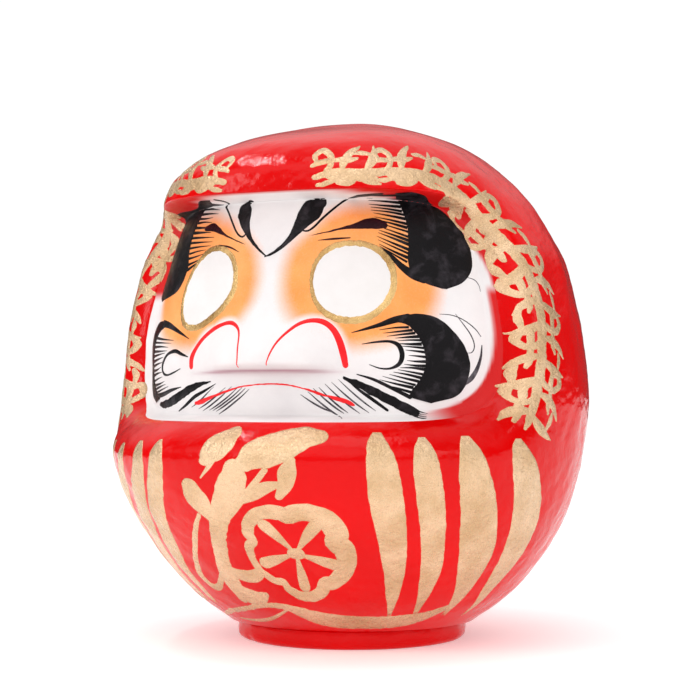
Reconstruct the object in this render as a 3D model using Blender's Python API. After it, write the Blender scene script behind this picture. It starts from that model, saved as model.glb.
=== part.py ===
"""Daruma doll: a hollow papier-mache roly-poly figure that stands on a weighted clay foot.

Units are metres, +Z is up and the face looks along -Y. The origin is the centre of the foot's underside.
The body is built from level sections. Each section is an oval whose height, half width and depths
come from PROFILE. The face is a recess sunk into the front of that body, with a nose standing in it.
"""

import math

import bmesh
import bpy
import numpy as np

# Driving dimensions
WALL = 0.0035  # thickness of the moulded paper pulp
GAP = 0.0003  # clearance between glued pieces
FOOT_RADIUS = 0.077
FOOT_HEIGHT = 0.0125
FOOT_EDGE = 0.0045  # rounding round the foot's underside
ROD_HOLE_RADIUS = 0.008  # hole for the rod that holds the doll while it is dipped in paint
SEAL_RADIUS = 0.031
SEAL_THICKNESS = 0.0004
OPENING_RADIUS = 0.062  # hole in the floor of the shell
WEIGHT_RADIUS = 0.060
WEIGHT_HEIGHT = 0.030
WEIGHT_EDGE = 0.004  # thickness of the mound at its rim
STRIP_HALF_ANGLE = math.radians(5.0)  # half the width of a seam strip, seen from the axis
STRIP_THICKNESS = 0.0008
STRIP_GAP = 0.0006  # the glue line between a strip and the curved wall
STRIP_START = 0.0200  # height at which the strips start
STRIP_END_WIDTH = 0.0250  # half width of the body where they end, under the crown

# How finely the surfaces are divided
ROW_PITCH = 0.0125
FRONT_COLUMNS = 54
BACK_COLUMNS = 24
SEGMENTS = 48
MOUND_STEPS = 5

SEAT = FOOT_HEIGHT + GAP  # level of the shell's floor

# Level sections from the floor of the shell to the crown: height, half width, depth ahead of the axis
# and depth behind it
PROFILE = (
    (SEAT, 0.0840, 0.0800, 0.0840),
    (0.0330, 0.1105, 0.1065, 0.1100),
    (0.0600, 0.1325, 0.1310, 0.1300),
    (0.0880, 0.1470, 0.1550, 0.1435),
    (0.1150, 0.1550, 0.1700, 0.1490),
    (0.1430, 0.1595, 0.1760, 0.1510),
    (0.1650, 0.1610, 0.1740, 0.1510),
    (0.1880, 0.1590, 0.1670, 0.1505),
    (0.2110, 0.1555, 0.1570, 0.1495),
    (0.2320, 0.1505, 0.1470, 0.1465),
    (0.2520, 0.1450, 0.1390, 0.1420),
    (0.2680, 0.1370, 0.1340, 0.1360),
    (0.2850, 0.1270, 0.1310, 0.1270),
    (0.2970, 0.1175, 0.1280, 0.1175),
    (0.3070, 0.1080, 0.1240, 0.1070),
    (0.3200, 0.0925, 0.1090, 0.0920),
    (0.3310, 0.0740, 0.0820, 0.0750),
    (0.3390, 0.0520, 0.0520, 0.0540),
    (0.3450, 0.0270, 0.0250, 0.0280),
    (0.3465, 0.0000, 0.0000, 0.0000),
)
HOOD_SQUARENESS = 2.5  # 2 keeps the front of a section an ellipse; the hood is squarer
BELLY_SQUARENESS = 2.0

# The sunken face, in angle round the axis and in height
FACE_HALF_ANGLE = math.radians(66.0)
FACE_BOTTOM = 0.1470
FACE_TOP = 0.2895
FACE_SQUARENESS = 6.0  # 2 gives an oval outline, more gives squarer corners
FACE_HALF_WIDTH_LOW = 0.1390  # plan ellipse of the face's own surface at the cheeks
FACE_HALF_WIDTH_HIGH = 0.1300  # and above the eyes
CHEEK_HEIGHT = 0.1950
FACE_DEPTH_LOW = 0.1270  # how far forward that surface is at the mouth
FACE_DEPTH_HIGH = 0.1200  # and under the hood
FACE_LEAN = 0.12  # share by which the face falls back, LEAN_RUN above LEAN_START
LEAN_START = 0.2370
LEAN_RUN = 0.0500
LEAN_SOFTNESS = 0.15
LIP_WIDTH = 0.36  # band outside the outline where the hood rolls in
LIP_RISE = 0.0050  # how far the rolled edge stands over the face beside it
LIP_DROP_ABOVE = 0.0030  # how far it rolls in above the face
LIP_DROP_BELOW = 0.0240  # and below it, where the belly rounds over
LIP_ROUND = 2.0  # 2 rolls in evenly over the band, more keeps the roll close to the face
LIP_TIGHT = 7.0
TIGHT_END = 0.2620  # above this height the roll beside the face gets softer
ROUND_START = 0.3050
STEP_WIDTH = 0.11  # band inside the outline where the lip steps down to the face

# The nose
NOSE_TIP_HEIGHT = 0.1830
NOSE_BASE_HEIGHT = 0.1740
NOSE_ROOT_HEIGHT = 0.2450
NOSE_HALF_WIDTH = 0.0500
NOSE_ROOT_HALF_WIDTH = 0.0160
NOSE_RISE = 0.0160
NOSE_FLAT = 0.25  # share of the nose's width that is at its full height

BODY_HALF_WIDTH = max(row[1] for row in PROFILE)
BODY_MIDDLE = 0.5 * (PROFILE[-1][0] + PROFILE[0][0])
BODY_HALF_HEIGHT = 0.5 * (PROFILE[-1][0] - PROFILE[0][0])
LEVEL_ANGLE = math.radians(85.0)  # beyond it the wall's thickness is measured square to the plain body


def ease(value, start, end):
    """0 before start, 1 after end, and a smooth step between them."""
    share = min(1.0, max(0.0, (value - start) / (end - start)))
    return share * share * (3.0 - 2.0 * share)


def smooth_rows(rows):
    """The rows on a Catmull-Rom curve that is level at the crown, about ROW_PITCH apart."""
    points = np.array(rows)
    before = 2.0 * points[0] - points[1]
    after = points[-2] * (1.0, -1.0, -1.0, -1.0)
    chain = np.vstack([before, points, after])
    result = []
    for index in range(1, len(chain) - 2):
        p0, p1, p2, p3 = chain[index - 1 : index + 3]
        steps = max(1, round(math.dist(p1[:2], p2[:2]) / ROW_PITCH))
        for step in range(steps):
            t = step / steps
            curve = 2.0 * p1 + (p2 - p0) * t
            curve += (2.0 * p0 - 5.0 * p1 + 4.0 * p2 - p3) * t**2
            curve += (3.0 * p1 - p0 - 3.0 * p2 + p3) * t**3
            result.append(0.5 * curve)
    result.append(points[-1])
    return result


def section_radius(angle, row):
    """Distance from the axis to a level section, at an angle from straight ahead."""
    height, half_width, ahead, behind = row
    if half_width <= 0.0:
        return 0.0
    if math.cos(angle) < 0.0:
        return 1.0 / math.hypot(math.sin(angle) / half_width, math.cos(angle) / behind)
    squarer = ease(height, FACE_BOTTOM, FACE_TOP)
    power = BELLY_SQUARENESS + (HOOD_SQUARENESS - BELLY_SQUARENESS) * squarer
    across = abs(math.sin(angle)) / half_width
    return (across**power + (abs(math.cos(angle)) / ahead) ** power) ** (-1.0 / power)


def fallen_back(height):
    """How far the face stands from the axis there, as a share of where it would stand upright."""
    above = (height - LEAN_START) / LEAN_RUN
    return 1.0 - 0.5 * FACE_LEAN * (above + math.hypot(above, LEAN_SOFTNESS))


def face_radius(angle, height):
    """Distance from the axis to the surface of the face, nose included."""
    depth = FACE_DEPTH_LOW
    depth += (FACE_DEPTH_HIGH - FACE_DEPTH_LOW) * ease(height, NOSE_TIP_HEIGHT, FACE_TOP)
    half_width = FACE_HALF_WIDTH_LOW
    half_width += (FACE_HALF_WIDTH_HIGH - FACE_HALF_WIDTH_LOW) * ease(height, CHEEK_HEIGHT, NOSE_ROOT_HEIGHT)
    across = math.sin(angle) / half_width
    radius = 1.0 / math.hypot(across, math.cos(angle) / depth)
    down = 1.0 - ease(height, NOSE_TIP_HEIGHT, NOSE_ROOT_HEIGHT)
    width = NOSE_ROOT_HALF_WIDTH + (NOSE_HALF_WIDTH - NOSE_ROOT_HALF_WIDTH) * down
    profile = 1.0 - ease(abs(radius * math.sin(angle)), NOSE_FLAT * width, width)
    above_base = ease(height, NOSE_BASE_HEIGHT, NOSE_TIP_HEIGHT)
    return (radius + NOSE_RISE * down * profile * above_base) * fallen_back(height)


def with_face(angle, height, radius):
    """The body's radius once the face is sunk into it."""
    middle = 0.5 * (FACE_TOP + FACE_BOTTOM)
    across = abs(angle) / FACE_HALF_ANGLE
    up = abs(height - middle) / (FACE_TOP - middle)
    power = FACE_SQUARENESS
    reach = (across**power + up**power) ** (1.0 / power)
    beside = (across / reach) ** power if reach else 0.0
    sunk = face_radius(angle, height)
    over = LIP_DROP_ABOVE if height > middle else LIP_DROP_BELOW
    drop = over + (max(radius - sunk - LIP_RISE, LIP_DROP_ABOVE) - over) * beside
    tightness = LIP_TIGHT - (LIP_TIGHT - LIP_ROUND) * ease(height, TIGHT_END, ROUND_START)
    outside = min(1.0, max(0.0, (reach - 1.0) / LIP_WIDTH))
    rolled = radius - drop * (1.0 - outside) ** (LIP_ROUND + (tightness - LIP_ROUND) * beside)
    inside = 1.0 - ease(reach, 1.0 - STEP_WIDTH, 1.0)
    return rolled + (min(rolled, sunk) - rolled) * inside


def body_point(angle, row, depth=0.0):
    """A point of the body, depth under its outer surface, at an angle from straight ahead."""
    height = row[0]
    radius = with_face(angle, height, section_radius(angle, row))
    point = np.array([radius * math.sin(angle), -radius * math.cos(angle), height])
    return point - depth * outward(angle, row)


def outward(angle, row):
    """The direction out of the plain body there, and level across the face and under its brim."""
    height, half_width = row[:2]
    rise = (height - BODY_MIDDLE) / BODY_HALF_HEIGHT**2
    aside = ease(abs(angle), FACE_HALF_ANGLE, LEVEL_ANGLE)
    over = ease(height, FACE_TOP, FACE_TOP + 2.0 * ROW_PITCH)
    under = 1.0 - ease(height, FACE_BOTTOM - 2.0 * ROW_PITCH, FACE_BOTTOM)
    rise *= max(aside, over, under)
    spread = half_width / BODY_HALF_WIDTH**2
    direction = np.array([spread * math.sin(angle), -spread * math.cos(angle), rise])
    return direction / np.linalg.norm(direction)


def clear_scene():
    for item in list(bpy.data.objects):
        bpy.data.objects.remove(item, do_unlink=True)


def material(name, colour, roughness, metallic=0.0, coat=0.0):
    made = bpy.data.materials.new(name)
    made.use_nodes = True
    shader = made.node_tree.nodes["Principled BSDF"]
    shader.inputs["Base Color"].default_value = (*colour, 1.0)
    shader.inputs["Roughness"].default_value = roughness
    shader.inputs["Metallic"].default_value = metallic
    shader.inputs["Coat Weight"].default_value = coat
    made.diffuse_color = (*colour, 1.0)
    return made


def add_object(name, build, look):
    """A new object from a bmesh, smooth shaded, with its normals facing out."""
    bmesh.ops.recalc_face_normals(build, faces=build.faces)
    mesh = bpy.data.meshes.new(name)
    build.to_mesh(mesh)
    build.free()
    mesh.shade_smooth()
    mesh.set_sharp_from_angle(angle=math.radians(40.0))
    mesh.materials.append(look)
    made = bpy.data.objects.new(name, mesh)
    bpy.context.scene.collection.objects.link(made)
    return made


def keep_side(point, side):
    """Hold a point on its own side of the seam, which lies in the plane y = 0."""
    if side:
        point[1] = side * max(GAP / 2.0, side * point[1])
    return point


def paper_layer(name, angles, rows, outer_depth, inner_depth, look, side=0):
    """A closed layer of paper under the body's surface, over a run of angles and of rows."""
    build = bmesh.new()
    grids = []
    for depth in (outer_depth, inner_depth):
        grid = []
        for row in rows:
            if row[1] == 0.0:
                tip = keep_side(body_point(0.0, row, depth), side)
                grid.append([build.verts.new(tip)] * len(angles))
                continue
            line = [keep_side(body_point(angle, row, depth), side) for angle in angles]
            grid.append([build.verts.new(point) for point in line])
        grids.append(grid)
    outer, inner = grids

    def add_face(*corners):
        unique = list(dict.fromkeys(corners))
        if len(unique) > 2:
            build.faces.new(unique)

    last_row, last_column = len(rows) - 1, len(angles) - 1
    for i in range(last_row):
        for j in range(last_column):
            add_face(outer[i][j], outer[i][j + 1], outer[i + 1][j + 1], outer[i + 1][j])
            add_face(inner[i][j + 1], inner[i][j], inner[i + 1][j], inner[i + 1][j + 1])
        add_face(outer[i + 1][0], inner[i + 1][0], inner[i][0], outer[i][0])
        add_face(outer[i][-1], inner[i][-1], inner[i + 1][-1], outer[i + 1][-1])
    for j in range(last_column):
        add_face(outer[0][j + 1], outer[0][j], inner[0][j], inner[0][j + 1])
        if rows[-1][1] > 0.0:
            add_face(outer[-1][j], outer[-1][j + 1], inner[-1][j + 1], inner[-1][j])
    return add_object(name, build, look)


def shell_half(name, side, columns, look):
    """Half of the moulded body, with a floor that turns in under it to the opening."""
    start = -0.5 * math.pi if side < 0 else 0.5 * math.pi
    angles = [start + math.pi * step / columns for step in range(columns + 1)]
    floor_edge = np.array([SEAT, OPENING_RADIUS, OPENING_RADIUS, OPENING_RADIUS])
    rows = [floor_edge] + smooth_rows(PROFILE)
    return paper_layer(name, angles, rows, 0.0, WALL, look, side)


def seam_strip(name, direction, look):
    """A strip of paper glued inside the shell, over the seam on one side."""
    middle = direction * 0.5 * math.pi
    angles = [middle + share * STRIP_HALF_ANGLE for share in (-1.0, 0.0, 1.0)]
    rows = [row for row in smooth_rows(PROFILE) if row[0] > STRIP_START and row[1] > STRIP_END_WIDTH]
    top = WALL + STRIP_GAP
    return paper_layer(name, angles, rows, top, top + STRIP_THICKNESS, look)


def turned(name, profile, look, segments=SEGMENTS):
    """A turned piece from (radius, height) points, which form a loop unless they start on the axis."""
    build = bmesh.new()
    rings = []
    for radius, height in profile:
        if radius == 0.0:
            rings.append([build.verts.new((0.0, 0.0, height))] * segments)
            continue
        turns = [2.0 * math.pi * step / segments for step in range(segments)]
        rings.append(
            [build.verts.new((radius * math.cos(a), radius * math.sin(a), height)) for a in turns]
        )
    if profile[0][0] > 0.0:
        rings.append(rings[0])
    for low, high in zip(rings, rings[1:]):
        for j in range(segments):
            k = (j + 1) % segments
            corners = list(dict.fromkeys((low[j], low[k], high[k], high[j])))
            build.faces.new(corners)
    return add_object(name, build, look)


def arc(centre_radius, centre_height, radius, start, end, steps):
    """Points of an arc in a turned profile; angles are in degrees from straight out."""
    points = []
    for step in range(steps + 1):
        a = math.radians(start + (end - start) * step / steps)
        points.append((centre_radius + radius * math.cos(a), centre_height + radius * math.sin(a)))
    return points


def clay_foot(look):
    """The fired disc under the shell, with the rod hole and a shallow seat for the paper seal."""
    seat_radius = SEAL_RADIUS + GAP
    seat_height = SEAL_THICKNESS + GAP
    top_edge = 0.3 * FOOT_EDGE
    profile = [(ROD_HOLE_RADIUS, FOOT_HEIGHT), (ROD_HOLE_RADIUS, seat_height)]
    profile += [(seat_radius, seat_height), (seat_radius, 0.0)]
    profile += arc(FOOT_RADIUS - FOOT_EDGE, FOOT_EDGE, FOOT_EDGE, -90.0, 0.0, 5)
    profile += arc(FOOT_RADIUS - top_edge, FOOT_HEIGHT - top_edge, top_edge, 0.0, 90.0, 2)
    return turned("foot", profile, look)


def clay_weight(look):
    """The mound of clay inside, which keeps the doll upright and rights it when it is knocked."""
    base = FOOT_HEIGHT + GAP
    crown = WEIGHT_HEIGHT - WEIGHT_EDGE
    profile = [(ROD_HOLE_RADIUS, base + WEIGHT_HEIGHT), (ROD_HOLE_RADIUS, base), (WEIGHT_RADIUS, base)]
    span = WEIGHT_RADIUS - ROD_HOLE_RADIUS
    for step in range(MOUND_STEPS):
        turn = 0.5 * math.pi * step / MOUND_STEPS
        radius = ROD_HOLE_RADIUS + span * math.cos(turn)
        profile.append((radius, base + WEIGHT_EDGE + crown * math.sin(turn)))
    return turned("clay_weight", profile, look)


def rod_hole_plug(look):
    """The wad of paper pushed into the rod hole once the paint is dry."""
    radius = ROD_HOLE_RADIUS - GAP
    low = SEAL_THICKNESS + GAP
    return turned(
        "rod_hole_plug",
        [(0.0, low), (radius, low), (radius, FOOT_HEIGHT), (0.0, FOOT_HEIGHT)],
        look,
        SEGMENTS // 2,
    )


def base_seal(look):
    """The round of paper pasted over the plug, flush with the underside of the foot."""
    corners = [(0.0, 0.0), (SEAL_RADIUS, 0.0), (SEAL_RADIUS, SEAL_THICKNESS), (0.0, SEAL_THICKNESS)]
    return turned("base_seal", corners, look)


def main():
    clear_scene()
    red = material("red_lacquer", (0.72, 0.0, 0.004), 0.22, coat=0.6)
    raw_paper = material("raw_paper", (0.62, 0.57, 0.47), 0.9)
    clay = material("clay", (0.42, 0.33, 0.25), 0.85)
    shell_half("shell_front", -1, FRONT_COLUMNS, red)
    shell_half("shell_back", 1, BACK_COLUMNS, red)
    seam_strip("seam_strip_left", -1, raw_paper)
    seam_strip("seam_strip_right", 1, raw_paper)
    clay_foot(red)
    clay_weight(clay)
    rod_hole_plug(raw_paper)
    base_seal(raw_paper)


main()
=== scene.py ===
import math

import bpy
import numpy as np
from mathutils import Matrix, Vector


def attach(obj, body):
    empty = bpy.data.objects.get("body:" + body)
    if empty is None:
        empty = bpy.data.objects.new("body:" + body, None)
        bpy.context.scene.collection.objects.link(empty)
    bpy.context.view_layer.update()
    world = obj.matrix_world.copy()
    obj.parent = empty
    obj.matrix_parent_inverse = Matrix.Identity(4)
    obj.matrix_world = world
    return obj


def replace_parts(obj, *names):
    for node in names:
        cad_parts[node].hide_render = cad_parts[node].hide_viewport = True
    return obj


# Looks of the daruma doll: lacquered paper body, sunken painted face, gold brushwork, studio.
# Units are metres, +Z is up and the face looks along -Y. The paint is laid out on a chart of the body:
# u is the angle from straight ahead times CHART_RADIUS, and z is the height, both in millimetres.

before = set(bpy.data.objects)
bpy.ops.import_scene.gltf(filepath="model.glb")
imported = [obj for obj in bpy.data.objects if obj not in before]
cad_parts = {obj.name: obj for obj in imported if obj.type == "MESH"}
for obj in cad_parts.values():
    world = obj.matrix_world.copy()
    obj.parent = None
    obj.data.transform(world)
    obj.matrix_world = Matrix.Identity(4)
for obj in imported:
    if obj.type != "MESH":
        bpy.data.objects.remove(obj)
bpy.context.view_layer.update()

MM = 0.001
CHART_RADIUS = 125.0  # mm of chart per radian

# The body, as in the CAD model
FOOT_RADIUS = 0.077
FOOT_HEIGHT = 0.0125
SEAT = 0.0128
OPENING_RADIUS = 0.062
PROFILE = np.array(
    (
        (SEAT, 0.0840, 0.0800, 0.0840),
        (0.0330, 0.1105, 0.1065, 0.1100),
        (0.0600, 0.1325, 0.1310, 0.1300),
        (0.0880, 0.1470, 0.1550, 0.1435),
        (0.1150, 0.1550, 0.1700, 0.1490),
        (0.1430, 0.1595, 0.1760, 0.1510),
        (0.1650, 0.1610, 0.1740, 0.1510),
        (0.1880, 0.1590, 0.1670, 0.1505),
        (0.2110, 0.1555, 0.1570, 0.1495),
        (0.2320, 0.1505, 0.1470, 0.1465),
        (0.2520, 0.1450, 0.1390, 0.1420),
        (0.2680, 0.1370, 0.1340, 0.1360),
        (0.2850, 0.1270, 0.1310, 0.1270),
        (0.2970, 0.1175, 0.1280, 0.1175),
        (0.3070, 0.1080, 0.1240, 0.1070),
        (0.3200, 0.0925, 0.1090, 0.0920),
        (0.3310, 0.0740, 0.0820, 0.0750),
        (0.3390, 0.0520, 0.0520, 0.0540),
        (0.3450, 0.0270, 0.0250, 0.0280),
        (0.3465, 0.0000, 0.0000, 0.0000),
    )
)
FACE_HALF_ANGLE = math.radians(66.0)
FACE_BOTTOM = 0.1470
FACE_TOP = 0.2895
FACE_MIDDLE = 0.5 * (FACE_TOP + FACE_BOTTOM)
FACE_HALF_HEIGHT = 0.5 * (FACE_TOP - FACE_BOTTOM)
FACE_SQUARENESS = 6.0  # 2 gives an oval outline, more gives squarer corners
HOOD_SQUARENESS = 2.5  # of the level sections under the hood; 2 is an ellipse
FACE_HALF_WIDTH_LOW = 0.139  # plan ellipse of the face's own surface at the cheeks
FACE_HALF_WIDTH_HIGH = 0.130  # and above the eyes
CHEEK_HEIGHT = 0.195
FACE_DEPTH_LOW = 0.127  # how far forward that surface is at the mouth
FACE_DEPTH_HIGH = 0.120  # and under the hood
FACE_LEAN = 0.12  # share by which the face falls back, LEAN_RUN above LEAN_START
LEAN_START = 0.2370
LEAN_RUN = 0.0500
LEAN_SOFTNESS = 0.15
LIP_WIDTH = 0.36  # band outside the outline where the hood rolls in
LIP_RISE = 0.0050  # how far the rolled edge stands over the face beside it
LIP_DROP_ABOVE = 0.0030  # how far it rolls in above the face
LIP_DROP_BELOW = 0.0240  # and below it, where the belly rounds over
LIP_ROUND = 2.0  # 2 rolls in evenly over the band, more keeps the roll close to the face
LIP_TIGHT = 7.0
TIGHT_END = 0.2620  # above this height the roll beside the face gets softer
ROUND_START = 0.3050
STEP_WIDTH = 0.05  # band inside the outline where the lip steps down to the face
NOSE_TIP_HEIGHT = 0.183
NOSE_BASE_HEIGHT = 0.174
NOSE_ROOT_HEIGHT = 0.245
NOSE_HALF_WIDTH = 0.050
NOSE_ROOT_HALF_WIDTH = 0.016
NOSE_RISE = 0.016
NOSE_FLAT = 0.25  # share of the nose's width that is at its full height

# Shallow forms of the face: rise, places and widths in mm along the chart and up it
SOCKET = (-1.6, 54.0, 26.0, 232.0, 24.0)
BROW_RIDGE = (1.2, 48.0, 40.0, 268.0, 9.0)
CHEEK = (1.5, 84.0, 22.0, 190.0, 20.0)
CHIN = (0.6, 0.0, 36.0, 157.0, 6.0)
NOSTRIL_WING = (1.2, 31.0, 13.0, 190.0, 12.0)
UPPER_LIP_HEIGHT = 168.5  # mm
UPPER_LIP_SAG = 24.0  # mm to the side where the lip's line is 1 mm lower

# Unevenness of the hand-laid paper
CURVE_STEPS = 60  # divisions of the profile between two of its rows
LUMP_HEIGHT = 0.00030
RIPPLE_HEIGHT = 0.00006
FACE_CALM = 0.75  # share by which the face is smoother


def ease(value, start, end):
    """0 before start, 1 after end, and a smooth step between them."""
    share = np.clip((value - start) / (end - start), 0.0, 1.0)
    return share * share * (3.0 - 2.0 * share)


def bell(value, middle, width):
    return np.exp(-(((value - middle) / width) ** 2))


# ---------------------------------------------------------------- the surface


def profile_rows():
    """The CAD profile on its Catmull-Rom curve, finely divided: height and three half widths."""
    before = 2.0 * PROFILE[0] - PROFILE[1]
    after = PROFILE[-2] * (1.0, -1.0, -1.0, -1.0)
    chain = np.vstack([before, PROFILE, after])
    rows = []
    for index in range(1, len(chain) - 2):
        p0, p1, p2, p3 = chain[index - 1 : index + 3]
        for step in range(CURVE_STEPS):
            t = step / CURVE_STEPS
            curve = 2.0 * p1 + (p2 - p0) * t
            curve = curve + (2.0 * p0 - 5.0 * p1 + 4.0 * p2 - p3) * t**2
            curve = curve + (3.0 * p1 - p0 - 3.0 * p2 + p3) * t**3
            rows.append(0.5 * curve)
    rows.append(PROFILE[-1])
    return np.array(rows)


ROWS = profile_rows()


def body_radius(angle, height):
    """Distance from the axis to the plain body, without its face."""
    half_width, ahead, behind = (np.interp(height, ROWS[:, 0], ROWS[:, k]) for k in (1, 2, 3))
    half_width = np.maximum(half_width, 1e-7)
    ahead = np.maximum(ahead, 1e-7)
    behind = np.maximum(behind, 1e-7)
    sine, cosine = np.abs(np.sin(angle)), np.cos(angle)
    back = 1.0 / np.hypot(sine / half_width, cosine / behind)
    power = 2.0 + (HOOD_SQUARENESS - 2.0) * ease(height, FACE_BOTTOM, FACE_TOP)
    front = ((sine / half_width) ** power + (np.abs(cosine) / ahead) ** power) ** (-1.0 / power)
    return np.where(cosine < 0.0, back, front)


def fallen_back(height):
    """How far the face stands from the axis there, as a share of where it would stand upright."""
    above = (height - LEAN_START) / LEAN_RUN
    return 1.0 - 0.5 * FACE_LEAN * (above + np.hypot(above, LEAN_SOFTNESS))


def face_radius(angle, height):
    """Distance from the axis to the sunken face, with its nose, brows, sockets and mouth."""
    high = ease(height, NOSE_TIP_HEIGHT, FACE_TOP)
    depth = FACE_DEPTH_LOW + (FACE_DEPTH_HIGH - FACE_DEPTH_LOW) * high
    above_cheeks = ease(height, CHEEK_HEIGHT, NOSE_ROOT_HEIGHT)
    half_width = FACE_HALF_WIDTH_LOW + (FACE_HALF_WIDTH_HIGH - FACE_HALF_WIDTH_LOW) * above_cheeks
    radius = 1.0 / np.hypot(np.sin(angle) / half_width, np.cos(angle) / depth)
    down = 1.0 - ease(height, NOSE_TIP_HEIGHT, NOSE_ROOT_HEIGHT)
    width = NOSE_ROOT_HALF_WIDTH + (NOSE_HALF_WIDTH - NOSE_ROOT_HALF_WIDTH) * down
    across = np.abs(radius * np.sin(angle))
    shape = 0.5 * (1.0 - ease(across, NOSE_FLAT * width, width)) + 0.5 * bell(across, 0.0, 0.6 * width)
    base = ease(height, NOSE_BASE_HEIGHT, NOSE_TIP_HEIGHT)
    radius = radius + NOSE_RISE * down**1.25 * shape * base
    u, z = np.abs(angle) * CHART_RADIUS, height / MM
    relief = bell(u, 0.0, 52.0) * bell(z, UPPER_LIP_HEIGHT - (u / UPPER_LIP_SAG) ** 2, 3.2)
    for rise, u_middle, u_width, z_middle, z_width in (SOCKET, BROW_RIDGE, CHEEK, CHIN, NOSTRIL_WING):
        relief = relief + rise * bell(u, u_middle, u_width) * bell(z, z_middle, z_width)
    return (radius + relief * MM) * fallen_back(height)


def plane_waves(seed, count, shortest, longest):
    """Directions, wave numbers and phases of a fixed set of waves, for lumps that look the same each run."""
    source = np.random.default_rng(seed)
    directions = source.normal(size=(count, 3))
    directions /= np.linalg.norm(directions, axis=1)[:, None]
    lengths = np.exp(source.uniform(math.log(shortest), math.log(longest), count))
    phases = source.uniform(0.0, 2.0 * math.pi, count)
    return directions * (2.0 * math.pi / lengths)[:, None], phases, lengths


LUMPS = plane_waves(7, 44, 0.011, 0.060)
RIPPLES = plane_waves(19, 40, 0.0045, 0.011)


def lumpiness(points, waves):
    """Smooth noise of about unit size at the points."""
    wave_vectors, phases, lengths = waves
    weights = lengths / np.sqrt((lengths**2).sum() / 2.0)
    flat = points.reshape(-1, 3)
    total = np.zeros(len(flat))
    for vector, phase, weight in zip(wave_vectors, phases, weights):
        total += weight * np.sin(flat @ vector + phase)
    return total.reshape(points.shape[:-1])


def surface(angle, height):
    """Points of the doll's outer surface at angles from straight ahead and heights."""
    angle, height = np.broadcast_arrays(np.asarray(angle, float), np.asarray(height, float))
    radius = body_radius(angle, height)
    turned = (angle + math.pi) % (2.0 * math.pi) - math.pi
    across = np.abs(turned) / FACE_HALF_ANGLE
    up = np.abs(height - FACE_MIDDLE) / FACE_HALF_HEIGHT
    reach = (across**FACE_SQUARENESS + up**FACE_SQUARENESS) ** (1.0 / FACE_SQUARENESS)
    beside = (across / np.maximum(reach, 1e-9)) ** FACE_SQUARENESS
    sunk = face_radius(turned, height)
    over = np.where(height > FACE_MIDDLE, LIP_DROP_ABOVE, LIP_DROP_BELOW)
    drop = over + (np.maximum(radius - sunk - LIP_RISE, LIP_DROP_ABOVE) - over) * beside
    outside = np.clip((reach - 1.0) / LIP_WIDTH, 0.0, 1.0)
    tightness = LIP_TIGHT + (LIP_ROUND - LIP_TIGHT) * ease(height, TIGHT_END, ROUND_START)
    rolled = radius - drop * (1.0 - outside) ** (LIP_ROUND + (tightness - LIP_ROUND) * beside)
    inside = 1.0 - ease(reach, 1.0 - STEP_WIDTH, 1.0)
    radius = rolled + (np.minimum(rolled, sunk) - rolled) * inside
    points = np.stack([radius * np.sin(angle), -radius * np.cos(angle), height], axis=-1)
    # Hand-laid paper is uneven, and calmer on the face and near the floor
    calm = (1.0 - FACE_CALM * inside) * ease(height, SEAT, SEAT + 0.012)
    lumps = LUMP_HEIGHT * lumpiness(points, LUMPS) + RIPPLE_HEIGHT * lumpiness(points, RIPPLES)
    share = ((radius + lumps * calm) / np.maximum(radius, 1e-9))[..., None]
    flat = np.where(radius[..., None] > 0.02, share, 1.0)
    points[..., :2] *= flat
    return points


def chart(u, z):
    """Surface points at chart places given in millimetres."""
    return surface(np.asarray(u, float) / CHART_RADIUS, np.asarray(z, float) * MM)


BROW_TOP = 284.5  # mm, where the face starts to turn out under the brim
BROW_CROWDING = 4.0  # mm into which the strokes above BROW_TOP crowd together
CHEEK_SHIFT = 4.5  # mm by which strokes on the doll's left cheek lie closer to the middle
CHEEK_SIDE = (60.0, 130.0)  # mm aside, between which the shift grows
CHEEK_TOP = (205.0, 240.0)  # mm up, between which it ends
MOUTH_HEIGHT = 165.0
SPREAD_UP = 0.14  # how much the strokes spread upwards where the face leans back
SPREAD_ASIDE = 1.05  # and sideways
EDGE_REACH = (0.93, 1.0)  # the band at the outline where the sideways spread ends
EDGE_LEVEL = 1.03
MOST_SINE = 0.995
PAINT_AXIS = 53.4  # mm along the chart, where the spacing of the brow's strokes doesn't change


def face_reach(u, z, power=FACE_SQUARENESS):
    """0 at the middle of the face's outline and 1 on it, at chart places."""
    across = np.abs(u) / CHART_RADIUS / FACE_HALF_ANGLE
    up = np.abs(z * MM - FACE_MIDDLE) / FACE_HALF_HEIGHT
    return (across**power + up**power) ** (1.0 / power)


def laid_on_face(u, z):
    """Chart places of the face's strokes, spaced out where it leans back and closer on the left cheek."""
    u, z = np.asarray(u, float), np.asarray(z, float)
    u = u - CHEEK_SHIFT * ease(u, *CHEEK_SIDE) * (1.0 - ease(z, *CHEEK_TOP))
    high = MOUTH_HEIGHT + (z - MOUTH_HEIGHT) * (1.0 + SPREAD_UP * (1.0 - fallen_back(z * MM)))
    crowded = BROW_CROWDING * (1.0 - np.exp(-(high - BROW_TOP) / BROW_CROWDING))
    high = np.where(high > BROW_TOP, BROW_TOP + crowded, high)
    wide, back = u, fallen_back(z * MM)
    for _ in range(3):
        near = back + (EDGE_LEVEL - back) * ease(face_reach(wide, high), *EDGE_REACH)
        sine = np.sin((u - PAINT_AXIS) / CHART_RADIUS) * near**-SPREAD_ASIDE
        wide = PAINT_AXIS + CHART_RADIUS * np.arcsin(np.clip(sine, -MOST_SINE, MOST_SINE))
    return wide, high


def normals_of(u, z, step=0.35):
    """Outward directions of the surface at chart places."""
    du = chart(u + step, z) - chart(u - step, z)
    dz = chart(u, z + step) - chart(u, z - step)
    direction = np.cross(du, dz)
    return direction / np.maximum(np.linalg.norm(direction, axis=-1), 1e-12)[..., None]


# ---------------------------------------------------------------- mesh building


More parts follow.
